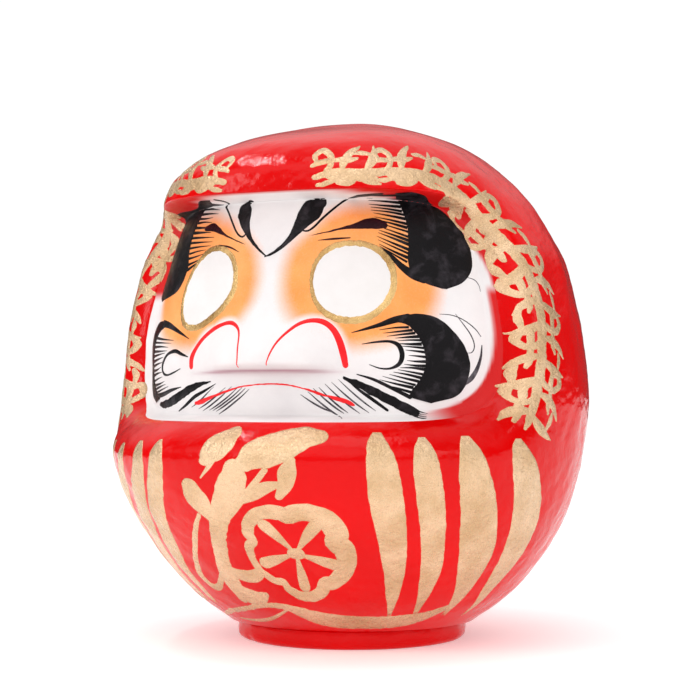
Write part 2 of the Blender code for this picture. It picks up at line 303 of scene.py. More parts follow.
def add_mesh(name, points, faces, look, normals=None):
    mesh = bpy.data.meshes.new(name)
    mesh.from_pydata(points.tolist(), [], faces)
    mesh.update()
    mesh.shade_smooth()
    if normals is not None:
        mesh.normals_split_custom_set_from_vertices(normals.tolist())
    mesh.materials.append(look)
    piece = bpy.data.objects.new(name, mesh)
    bpy.context.scene.collection.objects.link(piece)
    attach(piece, "root")
    return piece


def put_values(piece, name, values):
    """A value for each vertex, which the piece's material reads by name."""
    layer = piece.data.attributes.new(name, "FLOAT", "POINT")
    layer.data.foreach_set("value", np.asarray(values, np.float32).ravel())


def even_heights(low, high, count):
    """Heights from low to high, evenly spaced along the side of the body."""
    inside = ROWS[(ROWS[:, 0] > low + 1e-6) & (ROWS[:, 0] < high - 1e-6)]
    ends = [[h, *(np.interp(h, ROWS[:, 0], ROWS[:, k]) for k in (1, 2, 3))] for h in (low, high)]
    rows = np.vstack([ends[0], inside, ends[1]])
    along = np.concatenate([[0.0], np.cumsum(np.hypot(np.diff(rows[:, 0]), np.diff(rows[:, 1])))])
    return np.interp(np.linspace(0.0, along[-1], count + 1), along, rows[:, 0])


SIDE_COLUMNS = 40  # between the face's side and the seam
FACE_COLUMNS = 240
BACK_COLUMNS = 190
BELLY_ROWS = 126
FACE_ROWS = 132
CROWN_ROWS = 104
FLOOR_ROWS = 6
WARP_REACH = 1.36  # short of the seam, so that the first and last columns stay together


def skin_grid():
    """Chart coordinates of the body's grid, bent so that grid lines follow the outline of the face."""
    quarter = math.pi / 2.0 / FACE_HALF_ANGLE
    side = np.linspace(1.0, quarter, SIDE_COLUMNS + 1)
    back = np.linspace(quarter, 3.0 * quarter, BACK_COLUMNS + 1)
    face = np.linspace(-1.0, 1.0, FACE_COLUMNS + 1)
    columns = np.concatenate([-side[:0:-1], face, side[1:], back[1:]])
    belly = even_heights(SEAT, FACE_BOTTOM, BELLY_ROWS)
    crown = even_heights(FACE_TOP, PROFILE[-1, 0], CROWN_ROWS)
    heights = np.concatenate([belly[:-1], np.linspace(FACE_BOTTOM, FACE_TOP, FACE_ROWS + 1), crown[1:-1]])
    a, h = np.meshgrid(columns, heights)
    b = (h - FACE_MIDDLE) / FACE_HALF_HEIGHT
    s = np.maximum(np.abs(a), np.abs(b))
    power = FACE_SQUARENESS
    corner = s / np.maximum((np.abs(a) ** power + np.abs(b) ** power) ** (1.0 / power), 1e-9)
    scale = np.where(s < 1e-6, 1.0, 1.0 + (corner - 1.0) * (1.0 - ease(s, 1.0, WARP_REACH)))
    a, b = a * scale, b * scale
    return a * FACE_HALF_ANGLE, FACE_MIDDLE + b * FACE_HALF_HEIGHT


def quads_of(index):
    """The quadrilaterals of a grid whose vertices have these numbers."""
    return np.stack([index[:-1, :-1], index[:-1, 1:], index[1:, 1:], index[1:, :-1]], axis=-1)


def grid_normals(points):
    """Directions from the grid's own neighbours, closed round the axis."""
    wrapped = np.concatenate([points[:, -2:-1], points, points[:, 1:2]], axis=1)
    normals = np.cross(wrapped[:, 2:] - wrapped[:, :-2], np.gradient(points, axis=0))
    return normals / np.maximum(np.linalg.norm(normals, axis=-1), 1e-12)[..., None]


def shell_floor(edge):
    """Rings that turn in under the shell from its lowest edge to the opening, innermost first."""
    size = np.linalg.norm(edge[:, :2], axis=1)
    rings = []
    for share in np.linspace(1.0, 0.0, FLOOR_ROWS, endpoint=False):
        ring = edge.copy()
        ring[:, :2] *= ((size * (1.0 - share) + OPENING_RADIUS * share) / size)[:, None]
        rings.append(ring)
    return np.array(rings)


def build_skin(looks):
    """The lacquered front and back skins and the white face, with the chart places of the face's vertices."""
    angle, height = skin_grid()
    points = surface(angle, height)
    floor = shell_floor(points[0])
    down = np.broadcast_to((0.0, 0.0, -1.0), floor.shape)
    normals = np.concatenate([down, grid_normals(points)])
    points = np.concatenate([floor, points])
    rows, columns = points.shape[:2]
    low = FLOOR_ROWS + BELLY_ROWS
    front = 2 * SIDE_COLUMNS + FACE_COLUMNS
    index = np.arange(rows * columns).reshape(rows, columns)
    quads = quads_of(index)
    in_face = np.zeros(quads.shape[:2], bool)
    in_face[low : low + FACE_ROWS, SIDE_COLUMNS : SIDE_COLUMNS + FACE_COLUMNS] = True
    in_front = np.zeros(quads.shape[:2], bool)
    in_front[:, :front] = True
    tip = rows * columns
    all_points = np.vstack([points.reshape(-1, 3), [0.0, 0.0, PROFILE[-1, 0]]])
    all_normals = np.vstack([normals.reshape(-1, 3), [0.0, 0.0, 1.0]])
    pieces = {}
    for name, chosen, tip_columns, slot_name in (
        ("body_front", in_front & ~in_face, range(front), "red_lacquer"),
        ("body_back", ~in_front, range(front, columns - 1), "red_lacquer"),
        ("face_panel", in_face, (), "raw_paper"),
    ):
        faces = quads[chosen].tolist()
        faces += [[int(index[-1, j]), int(index[-1, j + 1]), tip] for j in tip_columns]
        used = sorted({corner for face in faces for corner in face})
        renumber = {old: new for new, old in enumerate(used)}
        faces = [[renumber[corner] for corner in face] for face in faces]
        piece = add_mesh(name, all_points[used], faces, looks[name], all_normals[used])
        pieces[name] = piece
    on_face = np.array(used) - FLOOR_ROWS * columns
    return pieces, angle.ravel()[on_face] * CHART_RADIUS, height.ravel()[on_face] / MM


# ---------------------------------------------------------------- brushwork


def through(values, closed=False, samples=12):
    """A Catmull-Rom curve through rows of numbers."""
    values = np.asarray(values, float)
    if closed:
        chain = np.vstack([values[-1], values, values[:2]])
    else:
        chain = np.vstack([2 * values[0] - values[1], values, 2 * values[-1] - values[-2]])
    result = []
    for k in range(1, len(chain) - 2):
        p0, p1, p2, p3 = chain[k - 1 : k + 3]
        t = np.linspace(0.0, 1.0, samples, endpoint=False)[:, None]
        curve = 2 * p1 + (p2 - p0) * t + (2 * p0 - 5 * p1 + 4 * p2 - p3) * t**2
        result.append(0.5 * (curve + (3 * p1 - p0 - 3 * p2 + p3) * t**3))
    result.append(chain[-2][None])
    return np.vstack(result)


def respaced(curve, pitch):
    """The curve at even steps of about pitch along its first two columns."""
    length = np.concatenate([[0.0], np.cumsum(np.linalg.norm(np.diff(curve[:, :2], axis=0), axis=1))])
    count = max(3, int(round(length[-1] / pitch)))
    at = np.linspace(0.0, length[-1], count + 1)
    return np.stack([np.interp(at, length, curve[:, k]) for k in range(curve.shape[1])], axis=1)


EDGE_ROUNDING = 0.9  # mm from its edge over which a stroke of paint rises
EDGE_TUCK = 0.16  # mm by which the edge itself goes under the surface
LAYERS = 7  # strokes in turn lie LAYER_STEP higher, so that crossing ones don't flicker
LAYER_STEP = 0.012
LEAST_WIDTH = 0.12
CAP_TURNS = np.radians((28.0, 52.0, 72.0, 86.0))  # round end of a stroke
LEAST_CAP = 0.35  # thinner ends stay square
HAIR_STEP = 0.5
HAIR_TIP_WIDTH = 0.25
TIP_SPREAD = (0.8, 0.15)  # unevenness of the hairs along the chart and up it
ROOT_SPREAD = (0.3, 0.15)
HAIR_BEND = (0.0, 0.21)


class Paint:
    """Brush strokes of one colour, gathered into one mesh of thin raised ribbons."""

    def __init__(self, seed, pitch=1.2, lift=0.10, crown=0.22, laid=None):
        self.points, self.faces, self.count = [], [], 0
        self.noise = np.random.default_rng(seed)
        self.pitch, self.lift, self.crown, self.layer = pitch, lift, crown, 0
        self.laid = laid

    def ribbon(self, left, right, rough=0.0):
        """A strip of paint between two edges, given as rows of (u, z)."""
        wide = np.linalg.norm(left - right, axis=1)
        across = max(4, int(math.ceil(wide.max() / self.pitch / 1.3)))
        share = np.linspace(0.0, 1.0, across + 1)
        # Sides get closer columns, so that the paint's rounded edge shows
        share = 0.5 - 0.5 * np.cos(math.pi * share) * (0.55 + 0.45 * np.abs(np.cos(math.pi * share)))
        share = (share - share[0]) / (share[-1] - share[0])
        if rough:
            wobble = self.noise.normal(size=(len(left), 2))
            kernel = np.array([0.25, 0.5, 0.25])
            wobble = np.stack([np.convolve(wobble[:, k], kernel, "same") for k in (0, 1)], axis=1)
            side = (right - left) / np.maximum(wide, 1e-6)[:, None]
            left = left + side * (wobble[:, :1] * rough)
            right = right + side * (wobble[:, 1:] * rough)
        grid = left[:, None, :] + (right - left)[:, None, :] * share[None, :, None]
        u, z = grid[..., 0], grid[..., 1]
        if self.laid:
            u, z = self.laid(u, z)
        points, directions = chart(u, z), normals_of(u, z)
        edge = np.minimum(share, 1.0 - share)[None, :] * wide[:, None]
        rounded = self.crown * (1.0 - np.exp(-edge / EDGE_ROUNDING)) - EDGE_TUCK * (edge < 1e-6)
        raised = self.lift + LAYER_STEP * self.layer + rounded
        points = points + directions * (raised * MM)[..., None]
        rows, columns = u.shape
        index = self.count + np.arange(rows * columns).reshape(rows, columns)
        self.faces += quads_of(index).reshape(-1, 4).tolist()
        self.points.append(points.reshape(-1, 3))
        self.count += rows * columns
        self.layer = (self.layer + 1) % LAYERS

    def stroke(self, rows, closed=False, rough=0.0, round_ends=True):
        """A brush stroke along (u, z, width) rows."""
        line = respaced(through(rows, closed=closed), self.pitch)
        tangent = np.gradient(line[:, :2], axis=0)
        if closed:
            tangent[0] = tangent[-1] = line[1, :2] - line[-2, :2]
        tangent /= np.maximum(np.linalg.norm(tangent, axis=1), 1e-9)[:, None]
        side = np.stack([-tangent[:, 1], tangent[:, 0]], axis=1)
        half = np.maximum(line[:, 2:3], LEAST_WIDTH) / 2.0
        left, right = line[:, :2] + side * half, line[:, :2] - side * half
        if round_ends and not closed:
            for end, outward in ((0, -1.0), (-1, 1.0)):
                r = half[end, 0]
                if r < LEAST_CAP:
                    continue
                steps = line[end, :2] + outward * tangent[end] * (r * np.sin(CAP_TURNS))[:, None]
                spread = side[end] * (r * np.cos(CAP_TURNS))[:, None]
                cap_left, cap_right = steps + spread, steps - spread
                if end == 0:
                    left = np.vstack([cap_left[::-1], left])
                    right = np.vstack([cap_right[::-1], right])
                else:
                    left, right = np.vstack([left, cap_left]), np.vstack([right, cap_right])
        self.ribbon(left, right, rough)

    def patch(self, left, right, rough=0.0):
        """A filled shape between two edges with the same number of (u, z) rows."""
        both = through(np.hstack([np.asarray(left, float), np.asarray(right, float)]))
        middle = 0.5 * (both[:, :2] + both[:, 2:])
        table = respaced(np.hstack([middle, both]), self.pitch)
        self.ribbon(table[:, 2:4], table[:, 4:6], rough=rough)

    def hairs(self, tips, roots, count, width):
        """Tapered hairs from a line of roots to a line of tips, a little uneven."""
        tips, roots = respaced(through(tips), HAIR_STEP), respaced(through(roots), HAIR_STEP)
        for k in range(count):
            share = (k + 0.5) / count
            tip = tips[int(share * (len(tips) - 1))] + self.noise.normal(size=2) * TIP_SPREAD
            root = roots[int(share * (len(roots) - 1))] + self.noise.normal(size=2) * ROOT_SPREAD
            middle = 0.5 * (tip + root) + self.noise.normal(size=2) * HAIR_BEND
            w = width * self.noise.uniform(0.8, 1.2)
            self.stroke([(*tip, HAIR_TIP_WIDTH), (*middle, 0.62 * w), (*root, w)], round_ends=False)

    def finish(self, name, look):
        add_mesh(name, np.vstack(self.points), self.faces, look)


# ---------------------------------------------------------------- materials


class Look:
    """A material whose nodes are added by short calls."""

    def __init__(self, name, **values):
        self.material = bpy.data.materials.new(name)
        self.material.use_nodes = True
        self.tree = self.material.node_tree
        self.shader = self.tree.nodes["Principled BSDF"]
        self.set(**values)
        self.place = self.tree.nodes.new("ShaderNodeTexCoord").outputs["Object"]

    def set(self, **values):
        for key, value in values.items():
            socket = self.shader.inputs[key.replace("_", " ")]
            socket.default_value = (*value, 1.0) if isinstance(value, tuple) else value

    def noise(self, scale, detail=3.0, roughness=0.55, distortion=0.0):
        node = self.tree.nodes.new("ShaderNodeTexNoise")
        node.inputs["Scale"].default_value = scale
        node.inputs["Detail"].default_value = detail
        node.inputs["Roughness"].default_value = roughness
        node.inputs["Distortion"].default_value = distortion
        self.tree.links.new(self.place, node.inputs["Vector"])
        return node.outputs["Fac"]

    def cells(self, scale):
        node = self.tree.nodes.new("ShaderNodeTexVoronoi")
        node.inputs["Scale"].default_value = scale
        self.tree.links.new(self.place, node.inputs["Vector"])
        return node.outputs["Distance"]

    def attribute(self, name):
        node = self.tree.nodes.new("ShaderNodeAttribute")
        node.attribute_name = name
        return node.outputs["Fac"]

    def span(self, value, low, high, start, end):
        """The value stretched from low..high onto start..end, held at the ends."""
        node = self.tree.nodes.new("ShaderNodeMapRange")
        for key, number in zip(("From Min", "From Max", "To Min", "To Max"), (low, high, start, end)):
            node.inputs[key].default_value = number
        self.tree.links.new(value, node.inputs["Value"])
        return node.outputs["Result"]

    def tone(self, *noise, low=0.35, high=0.65):
        """Blotches from 0 to 1."""
        return self.span(self.noise(*noise), low, high, 0.0, 1.0)

    def tint(self, tone, first, second):
        self.link(self.mix(tone, first, second), "Base Color")

    def vary_roughness(self, scale, low, high):
        self.link(self.span(self.noise(scale), 0.3, 0.7, low, high), "Roughness")

    def grain(self, scale, detail, height):
        return self.span(self.noise(scale, detail), 0.3, 0.7, 0.0, height)

    def mix(self, share, first, second):
        node = self.tree.nodes.new("ShaderNodeMix")
        node.data_type = "RGBA"
        for key, colour in (("A", first), ("B", second)):
            socket = [i for i in node.inputs if i.identifier == key + "_Color"][0]
            if isinstance(colour, tuple):
                socket.default_value = (*colour, 1.0)
            else:
                self.tree.links.new(colour, socket)
        self.tree.links.new(share, node.inputs["Factor"])
        return [o for o in node.outputs if o.identifier == "Result_Color"][0]

    def total(self, *values):
        result = values[0]
        for value in values[1:]:
            node = self.tree.nodes.new("ShaderNodeMath")
            node.operation = "ADD"
            self.tree.links.new(result, node.inputs[0])
            self.tree.links.new(value, node.inputs[1])
            result = node.outputs[0]
        return result

    def bump(self, height, strength, distance):
        node = self.tree.nodes.new("ShaderNodeBump")
        node.inputs["Strength"].default_value = strength
        node.inputs["Distance"].default_value = distance
        self.tree.links.new(height, node.inputs["Height"])
        self.tree.links.new(node.outputs["Normal"], self.shader.inputs["Normal"])

    def link(self, value, key):
        self.tree.links.new(value, self.shader.inputs[key])


LACQUER_RED = (0.60, 0.0, 0.0)


def red_look(name):
    look = Look(name, Specular_IOR_Level=0.16)
    look.tint(look.tone(9.0, 4.0), LACQUER_RED, (0.72, 0.0, 0.001))
    look.vary_roughness(60.0, 0.09, 0.17)
    look.bump(look.total(look.noise(150.0), look.grain(420.0, 2.0, 0.25)), 0.35, 0.0007)
    return look.material


def gold_look(name, first=(0.60, 0.385, 0.20), second=(0.78, 0.54, 0.33), rough=(0.18, 0.34)):
    look = Look(name, Metallic=0.55)
    look.tint(look.tone(38.0, 5.0, 0.6, low=0.36, high=0.64), first, second)
    look.vary_roughness(160.0, *rough)
    look.bump(look.total(look.noise(260.0, 3.0, 0.5), look.grain(1300.0, 2.0, 0.2)), 0.65, 0.0018)
    return look.material


def black_look(name, dark=(0.004, 0.003, 0.004), light=(0.040, 0.033, 0.040)):
    look = Look(name, Specular_IOR_Level=0.13)
    look.tint(look.tone(75.0, 5.0, 0.65, 0.4, low=0.50, high=0.74), dark, light)
    look.vary_roughness(110.0, 0.28, 0.50)
    look.bump(look.total(look.noise(260.0), look.grain(1100.0, 3.0, 0.3)), 0.4, 0.0009)
    return look.material


def scarlet_look(name):
    look = Look(name, Specular_IOR_Level=0.35)
    look.tint(look.tone(120.0, 4.0), (0.78, 0.002, 0.006), (0.90, 0.004, 0.010))
    look.vary_roughness(160.0, 0.30, 0.45)
    look.bump(look.noise(500.0), 0.3, 0.0006)
    return look.material


def white_look(name):
    """Face white, with orange where "blush" is, painted shade along the crease under the nose, and red where
    "lacquer" is.
    """
    look = Look(name, Specular_IOR_Level=0.35)
    tone = look.tone(26.0, 5.0)
    white = look.mix(tone, (0.755, 0.715, 0.715), (0.825, 0.785, 0.780))
    orange = look.mix(tone, (0.98, 0.290, 0.060), (0.98, 0.390, 0.115))
    stipple = look.span(look.noise(900.0, 2.0), 0.3, 0.7, -0.05, 0.05)
    spray = look.total(look.attribute("blush"), stipple)
    base = look.mix(look.span(spray, 0.05, 1.0, 0.0, 1.0), white, orange)
    # Painted shadow: a dark mauve line where the nose's underside shades the upper lip
    base = look.mix(look.attribute("nose_underside_shade"), base, (0.36, 0.10, 0.16))
    look.tint(look.attribute("lacquer"), base, LACQUER_RED)
    look.vary_roughness(90.0, 0.42, 0.58)
    look.bump(look.total(look.noise(170.0, 4.0), look.grain(900.0, 3.0, 0.4)), 0.22, 0.0006)
    return look.material


def eye_look(name):
    look = Look(name, Specular_IOR_Level=0.35)
    look.tint(look.tone(45.0, 5.0), (0.770, 0.735, 0.720), (0.810, 0.775, 0.765))
    look.vary_roughness(90.0, 0.40, 0.55)
    look.bump(look.noise(320.0), 0.2, 0.0006)
    return look.material


def paper_look(name):
    look = Look(name, Roughness=0.85)
    look.tint(look.tone(70.0, 5.0, low=0.3, high=0.7), (0.52, 0.45, 0.36), (0.68, 0.61, 0.51))
    look.bump(look.total(look.noise(500.0, 4.0), look.cells(240.0)), 0.4, 0.0008)
    return look.material


def clay_look(name):
    look = Look(name, Roughness=0.9)
    look.tint(look.tone(55.0, 5.0, low=0.3, high=0.7), (0.27, 0.17, 0.11), (0.38, 0.26, 0.17))
    look.bump(look.noise(300.0, 4.0), 0.5, 0.0010)
    return look.material


LOOKS = {
    "body_front": red_look("red_lacquer_front"),
    "body_back": red_look("red_lacquer_back"),
    "face_panel": white_look("face_white"),
}
GOLD = gold_look("gold_paint")
RING_GOLD = gold_look("eye_ring_gold", (0.30, 0.150, 0.035), (0.76, 0.50, 0.20), (0.18, 0.32))
BLACK = black_look("brush_black")
BROWN = black_look("lash_brown", (0.020, 0.002, 0.005), (0.055, 0.012, 0.020))
SCARLET = scarlet_look("brush_scarlet")
EYE_WHITE = eye_look("eye_white")
PAPER = paper_look("raw_paper")
CLAY = clay_look("raw_clay")

# ---------------------------------------------------------------- body, face and foot

pieces, face_u, face_z = build_skin(LOOKS)
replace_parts(pieces["body_front"], "shell_front")
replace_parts(pieces["body_back"], "shell_back")

RIGHT_EYE = [
    (55, 256.6, 4.0), (65, 254.8, 4.2), (73, 249.5, 4.8), (78, 241.5, 5.0), (79.2, 233, 4.8),
    (77.4, 225, 4.6), (72, 217.3, 4.6), (64, 211.5, 4.8), (54, 208.8, 4.8), (45, 209.9, 4.6),
    (37, 213.8, 4.0), (31.2, 220.3, 3.4), (28.2, 228, 3.0), (27.8, 236.5, 2.8), (30.2, 244.5, 3.2),
    (35.8, 251.3, 3.8), (44.5, 255.6, 4.0),
]
LEFT_EYE = [
    (-48, 256.4, 4.0), (-38.5, 255.6, 4.2), (-31.5, 251, 4.2), (-27.3, 244, 4.4), (-26.4, 236, 4.6),
    (-27.8, 228.5, 4.8), (-32.5, 221.5, 4.8), (-40, 215, 4.8), (-49, 209.6, 4.6), (-58.5, 206.3, 4.4),
    (-68, 207.4, 4.2), (-74.2, 213, 3.8), (-77, 221.5, 3.4), (-76, 230.5, 3.0), (-72, 239, 3.0),
    (-65.3, 247, 3.2), (-57, 253, 3.6),
]


OUTLINE_MARGIN = 3.5  # mm by which sprayed patches pass their outlines


def inside_curve(u, z, rows, soft):
    """About 1 inside a closed curve round its middle and 0 outside, with a soft edge in mm."""
    rows = np.asarray(rows, float)[:, :2]
    rows = np.stack(laid_on_face(rows[:, 0], rows[:, 1]), axis=1)
    middle = rows.mean(axis=0)
    turn = np.arctan2(rows[:, 1] - middle[1], rows[:, 0] - middle[0])
    size = np.hypot(rows[:, 1] - middle[1], rows[:, 0] - middle[0])
    order = np.argsort(turn)
    here = np.arctan2(z - middle[1], u - middle[0])
    limit = np.interp(here, turn[order], size[order], period=2.0 * math.pi)
    return 1.0 - ease(np.hypot(u - middle[0], z - middle[1]) - limit - OUTLINE_MARGIN, -soft, soft)


RIGHT_BLUSH = [
    (12, 236), (16, 252), (28, 263), (44, 274), (60, 277), (76, 276), (90, 262), (103, 244), (105, 226),
    (100, 212), (84, 203), (66, 197), (50, 196), (36, 201), (22, 210), (14, 222),
]
LEFT_BLUSH = [
    (-11, 236), (-14, 252), (-26, 264), (-40, 272), (-58, 275), (-78, 272), (-96, 258), (-108, 240),
    (-110, 224), (-102, 208), (-84, 199), (-66, 196), (-48, 198), (-34, 203), (-20, 211), (-13, 222),
]
RIGHT_WING = [(5, 178), (9, 192), (17, 203), (29, 209), (41, 204), (47, 193), (49, 178), (28, 172)]
LEFT_WING = [(-12, 178), (-13, 200), (-23, 208), (-40, 204), (-53, 195), (-61, 184), (-58, 174), (-30, 172)]


BLUSH_SOFTNESS = 8.5  # mm
WING_SOFTNESS = 2.5
WING_CLEARING = 0.92  # share of the orange that the nose's wings are free of
TEMPLE_HEIGHTS = (226.0, 234.0)  # mm between which the red's edge changes from cheek to temple
MOUTH_EDGE = 178.2  # mm, height of the painted shadow line under the nose


def paint_face(piece, u, z):
    """Where the sprayed orange, the painted shadow line under the nose and the red that laps into the recess
    lie.
    """
    blush = inside_curve(u, z, RIGHT_BLUSH, BLUSH_SOFTNESS) + inside_curve(u, z, LEFT_BLUSH, BLUSH_SOFTNESS)
    wings = inside_curve(u, z, RIGHT_WING, WING_SOFTNESS) + inside_curve(u, z, LEFT_WING, WING_SOFTNESS)
    put_values(piece, "blush", np.clip(blush, 0.0, 1.0) * (1.0 - WING_CLEARING * np.clip(wings, 0.0, 1.0)))
    high = ease(z, *TEMPLE_HEIGHTS)
    corners = ease(face_reach(u, z, 3.4), 0.985, 1.0) * high
    cheek = ease(face_reach(u, z, 4.2), 0.965, 0.98) * ease(u, 85.0, 115.0) * (1.0 - high)
    temple = ease(face_reach(u, z), 0.93, 0.945) * (1.0 - ease(u, -100.0, -90.0)) * high
    put_values(piece, "lacquer", np.maximum(np.maximum(corners, temple), cheek))
    # Painted shadow under the nose: darkest in the crease, with a softer band just below it
    line = 1.2 * bell(z, MOUTH_EDGE - 0.0004 * u**2, 0.9) + 0.35 * bell(z, MOUTH_EDGE - 0.8, 2.6)
    put_values(piece, "nose_underside_shade", np.clip(0.55 * line, 0.0, 1.0) * (1.0 - ease(np.abs(u + 5), 26.0, 62.0)))


paint_face(pieces["face_panel"], face_u, face_z)

FOOT_SEGMENTS = 256
FOOT_ROUNDING = 0.0045  # radius of the lower edge
SEAT_ROUNDING = 0.0012  # and of the upper one
SEAL_RECESS = (0.0313, 0.0007)  # radius and depth of the hollow for the paper seal
ROD_HOLE_RADIUS = 0.0082
RIM = 0.070  # radius beyond which the foot is out of true
FOOT_LUMP_HEIGHT = 0.00022
FOOT_RIPPLE_HEIGHT = 0.00005
CHIP = (math.radians(232.0), 0.0022)  # where the lower edge is chipped: turn and height
CHIP_SIZE = (0.0045, 0.0026, 0.0012)  # along the edge, up it, and in


def arc(radius, height, rounding, turns):
    """Points of a rounded edge whose outermost and highest reach are radius and height."""
    return [(radius + rounding * (math.cos(a) - 1.0),
        height + rounding * math.sin(a)) for a in np.radians(turns)]


def turned_foot():
    """The red clay disc: softly rounded edges, slightly out of true, with a chipped lower edge."""
    seal, recess = SEAL_RECESS
    outline = [(ROD_HOLE_RADIUS, FOOT_HEIGHT), (ROD_HOLE_RADIUS, recess), (seal, recess), (seal, 0.0)]
    outline += [(r, 0.0) for r in np.linspace(0.040, FOOT_RADIUS - FOOT_ROUNDING, 5)]
    outline += arc(FOOT_RADIUS, FOOT_ROUNDING, FOOT_ROUNDING, np.linspace(-80.0, 0.0, 9))
    outline += [(FOOT_RADIUS + 0.0002, 0.0070), (FOOT_RADIUS, 0.0095)]
    outline += arc(FOOT_RADIUS, FOOT_HEIGHT - SEAT_ROUNDING, SEAT_ROUNDING, np.linspace(10.0, 90.0, 6))
    outline = np.array(outline + [(r, FOOT_HEIGHT) for r in (RIM, 0.055, 0.030)])
    radius, height = outline[:, :1], outline[:, 1:]
    turn = np.linspace(0.0, 2.0 * math.pi, FOOT_SEGMENTS, endpoint=False)
    level = np.repeat(height, FOOT_SEGMENTS, axis=1)
    points = np.stack([radius * np.cos(turn), radius * np.sin(turn), level], axis=-1)
    lumps = FOOT_LUMP_HEIGHT * lumpiness(points, LUMPS) + FOOT_RIPPLE_HEIGHT * lumpiness(points, RIPPLES)
    chip = bell(turn * FOOT_RADIUS, CHIP[0] * FOOT_RADIUS, CHIP_SIZE[0]) * bell(level, CHIP[1], CHIP_SIZE[1])
    outer = ease(radius, RIM, FOOT_RADIUS)
    scale = 1.0 + (lumps - CHIP_SIZE[2] * chip) * outer / np.maximum(radius, 1e-6)
    points[..., :2] *= scale[..., None]
    index = np.arange(len(outline) * FOOT_SEGMENTS).reshape(len(outline), FOOT_SEGMENTS)
    index = np.pad(index, ((0, 1), (0, 1)), mode="wrap")
    faces = quads_of(index).reshape(-1, 4).tolist()
    return add_mesh("foot_disc", points.reshape(-1, 3), faces, red_look("foot_red"))


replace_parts(turned_foot(), "foot")

for node, look in (
    ("seam_strip_left", PAPER),
    ("seam_strip_right", PAPER),
    ("base_seal", PAPER),
    ("rod_hole_plug", PAPER),
    ("clay_weight", CLAY),
):
    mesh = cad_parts[node].data
    mesh.materials.clear()
    mesh.materials.append(look)

# ---------------------------------------------------------------- the face's brushwork

rings = Paint(3, pitch=0.9, crown=0.40, laid=laid_on_face)
rings.stroke(RIGHT_EYE, closed=True, rough=0.25)
rings.stroke(LEFT_EYE, closed=True, rough=0.25)
rings.finish("eye_rings", RING_GOLD)

eyes = Paint(4, pitch=1.6, lift=0.05, crown=0.06, laid=laid_on_face)
for ring in (RIGHT_EYE, LEFT_EYE):
    half = len(ring) // 2
    first = [row[:2] for row in ring[: half + 1]]
    second = [row[:2] for row in [ring[0]] + ring[: half - 1 : -1]]
    count = min(len(first), len(second))
    eyes.patch(first[:count], second[:count])
eyes.finish("eye_blanks", EYE_WHITE)

black = Paint(11, laid=laid_on_face)
black.patch(
    [(80, 289), (84, 280), (87.5, 269), (88.6, 257), (88, 247), (90, 238.5), (98, 232.5), (110, 229)],
    [(89, 290.5), (104, 283), (118, 272), (127.5, 262), (132, 251), (131, 241), (124, 233), (113, 228.8)],
    rough=0.15,
)
black.hairs(
    [(61, 287.5), (64, 281), (67, 274), (70, 267), (69, 260.5), (70, 256.5), (72, 253.8)],
    [(81, 287.5), (84, 280.5), (87, 271.5), (88.8, 262), (88.8, 254), (88, 247.5), (86.5, 243.8)],
    17, 1.9,
)
black.stroke([(71, 254, 0.4), (77, 249.5, 2.2), (84, 242.5, 4.0), (91, 237.5, 5.5), (98, 234.5, 5.0)])
black.patch(
    [(-60, 290.6), (-74, 284), (-87, 273), (-99, 260), (-111, 247), (-122, 237), (-128, 230)],
    [(-51, 290), (-60, 281.5), (-69, 270), (-74.6, 257), (-76, 244), (-88, 230.5), (-118, 225.5)],
    rough=0.15,
)
black.hairs(
    [(-40, 285), (-45, 279.5), (-50, 275.5), (-50, 270.5), (-48, 264.5), (-51, 260), (-57, 254.5),
     (-64, 247.5)],
    [(-56, 287), (-61, 281), (-66, 274), (-71, 267), (-74, 259), (-75, 251.5), (-76, 246), (-75, 242.5)],
    14, 2.1,
)
# The frown: two drops whose tails meet
black.stroke([
    (33.4, 281.8, 7.0), (31, 280.4, 11.4), (27.4, 277.6, 13.8), (23.4, 273.6, 12.4), (19.6, 268.6, 8.8),
    (14.6, 262, 4.6), (10, 257.6, 3.1), (5, 253.7, 2.2), (0, 250.9, 1.7), (-4.6, 249.4, 0.8),
], rough=0.12)
black.stroke([
    (20, 265.2, 1.0), (24.5, 264.5, 1.3), (29, 267, 1.6), (34, 271.8, 1.7), (41, 277.6, 1.6),
    (49, 283.2, 1.5), (56, 286, 2.2), (64, 287, 2.8), (72, 288, 2.4),
])
black.stroke([
    (-20.6, 283.2, 6.6), (-21, 280.6, 9.8), (-21.6, 276.4, 10.4), (-20.7, 271.2, 7.6), (-18.6, 266, 5.0),
    (-15.6, 260.6, 2.8), (-11, 255.6, 1.9), (-7, 252.2, 1.5), (-3.8, 249.8, 1.0),
], rough=0.12)
black.stroke([(-25.5, 277.6, 1.6), (-26.6, 276.2, 2.0), (-24.6, 273.6, 2.4)])
black.stroke([
    (-19, 264.6, 1.0), (-22.5, 262.6, 1.2), (-26.4, 265, 1.4), (-31.5, 272.6, 1.5), (-36.6, 280.5, 1.5),
    (-41, 286, 1.8), (-47, 289.3, 2.2),
])
